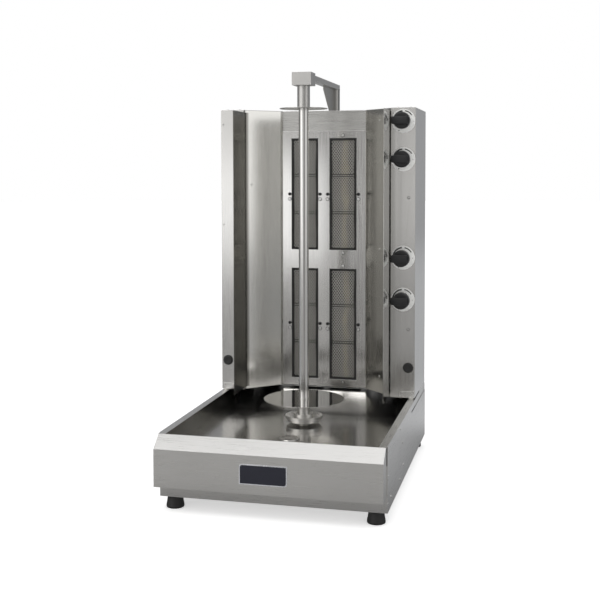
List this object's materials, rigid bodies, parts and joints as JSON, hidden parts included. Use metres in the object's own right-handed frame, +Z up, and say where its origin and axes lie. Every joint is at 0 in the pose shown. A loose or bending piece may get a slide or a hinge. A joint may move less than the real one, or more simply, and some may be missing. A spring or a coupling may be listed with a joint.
{
  "type": "rotisserie oven",
  "caption": "Upright gas roasting grill with a motor-turned vertical spit, sunken drip tray and a sliding burner tower with side reflectors and control knobs.",
  "frame": {"origin": "on the floor, under the middle of the whole object's box", "axes": "+Z up along the spit, +X to the user's right, +Y to the back"},
  "size_m": [0.703, 1.011, 1.353],
  "materials": {
    "satin_sheet": "satin, brushed along the sheet",
    "mirror_sheet": "polished stainless steel",
    "turned_steel": "fine satin",
    "bright_fasteners": "bright zinc and stainless",
    "badge_enamel": "dark blue enamel with a bare border, blank",
    "foot_rubber": "matt black",
    "grey_plate": "plain",
    "gear_casting": "cast",
    "motor_paint": "semi-gloss",
    "bronze": "machined",
    "brass": "machined",
    "aluminium_pipe": "drawn",
    "black_nylon": "moulded",
    "white_nylon": "moulded",
    "ceramic_tile": "porous fired ceramic",
    "screen_wire": "heat-darkened wire",
    "dial_white": null,
    "knob_black": "fine satin black"
  },
  "bodies": {
    "base": {"base_side_left": "satin_sheet", "base_side_right": "satin_sheet", "base_front_panel": "satin_sheet", "base_back_panel": "satin_sheet", "base_bottom_pan": "satin_sheet", "rear_deck": "satin_sheet", "drip_tray": "mirror_sheet", "front_apron": "satin_sheet", "badge_plate": "badge_enamel", "rubber_feet": "foot_rubber", "foot_studs": "bright_fasteners", "motor_bracket": "grey_plate", "gearbox": "gear_casting", "drive_motor": "motor_paint", "shaft_bearing": "bright_fasteners", "shaft_seal": "foot_rubber", "support_post": "turned_steel", "post_brackets": "turned_steel", "support_arm": "turned_steel", "arm_web": "turned_steel", "head_block": "turned_steel", "head_sleeve": "turned_steel", "sleeve_bush": "bronze", "heat_shield_disc": "turned_steel", "cable_gland": "black_nylon", "base_rivets": "bright_fasteners"},
    "drive": {"drive_shaft": "turned_steel", "drive_hub": "turned_steel"},
    "spit": {"spit_tube": "turned_steel", "spit_tongue": "turned_steel", "meat_plate": "mirror_sheet"},
    "tower": {"tower_box_left": "satin_sheet", "control_box": "satin_sheet", "tower_runners": "satin_sheet", "tower_top_cap": "satin_sheet", "tower_back_cover": "satin_sheet", "burner_panel": "satin_sheet", "header_panel": "satin_sheet", "reflector_left": "satin_sheet", "reflector_right": "satin_sheet", "wing_left": "satin_sheet", "wing_right": "satin_sheet", "burner_housings": "grey_plate", "burner_tiles": "ceramic_tile", "burner_screens": "screen_wire", "gas_valves": "brass", "gas_rail": "aluminium_pipe", "gas_inlet": "brass", "tower_screws": "bright_fasteners", "dial_plates": "dial_white", "hole_plugs": "foot_rubber", "glide_pads": "white_nylon"},
    "valve_1": {"valve_stem_1": "bright_fasteners"},
    "dial_1": {"knob_1": "knob_black"},
    "valve_2": {"valve_stem_2": "bright_fasteners"},
    "dial_2": {"knob_2": "knob_black"},
    "valve_3": {"valve_stem_3": "bright_fasteners"},
    "dial_3": {"knob_3": "knob_black"},
    "valve_4": {"valve_stem_4": "bright_fasteners"},
    "dial_4": {"knob_4": "knob_black"}
  },
  "joints": [
    {"name": "spit_turn", "type": "hinge", "parent": "base", "child": "drive", "pos_m": [0, -0.0205, 0.181], "axis": [0, 0, 1], "continuous": true},
    {"name": "spit_lift", "type": "slide", "parent": "drive", "child": "spit", "axis": [0, 0, 1], "range_m": [0, 0.036]},
    {"name": "tower_slide", "type": "slide", "parent": "base", "child": "tower", "axis": [0, -1, 0], "range_m": [0, 0.1]},
    {"name": "knob_1_push", "type": "slide", "parent": "tower", "child": "valve_1", "axis": [0, 1, 0], "range_m": [0, 0.004], "stiffness_N_per_m": 900, "springref_m": -0.003},
    {"name": "knob_1_turn", "type": "hinge", "parent": "valve_1", "child": "dial_1", "pos_m": [0.3065, 0.1265, 0.584], "axis": [0, -1, 0], "range_deg": [-90, 90]},
    {"name": "knob_2_push", "type": "slide", "parent": "tower", "child": "valve_2", "axis": [0, 1, 0], "range_m": [0, 0.004], "stiffness_N_per_m": 900, "springref_m": -0.003},
    {"name": "knob_2_turn", "type": "hinge", "parent": "valve_2", "child": "dial_2", "pos_m": [0.3065, 0.1265, 0.729], "axis": [0, -1, 0], "range_deg": [-90, 90]},
    {"name": "knob_3_push", "type": "slide", "parent": "tower", "child": "valve_3", "axis": [0, 1, 0], "range_m": [0, 0.004], "stiffness_N_per_m": 900, "springref_m": -0.003},
    {"name": "knob_3_turn", "type": "hinge", "parent": "valve_3", "child": "dial_3", "pos_m": [0.3065, 0.1265, 1.068], "axis": [0, -1, 0], "range_deg": [-90, 90]},
    {"name": "knob_4_push", "type": "slide", "parent": "tower", "child": "valve_4", "axis": [0, 1, 0], "range_m": [0, 0.004], "stiffness_N_per_m": 900, "springref_m": -0.003},
    {"name": "knob_4_turn", "type": "hinge", "parent": "valve_4", "child": "dial_4", "pos_m": [0.3065, 0.1265, 1.199], "axis": [0, -1, 0], "range_deg": [-90, 90]}
  ]
}
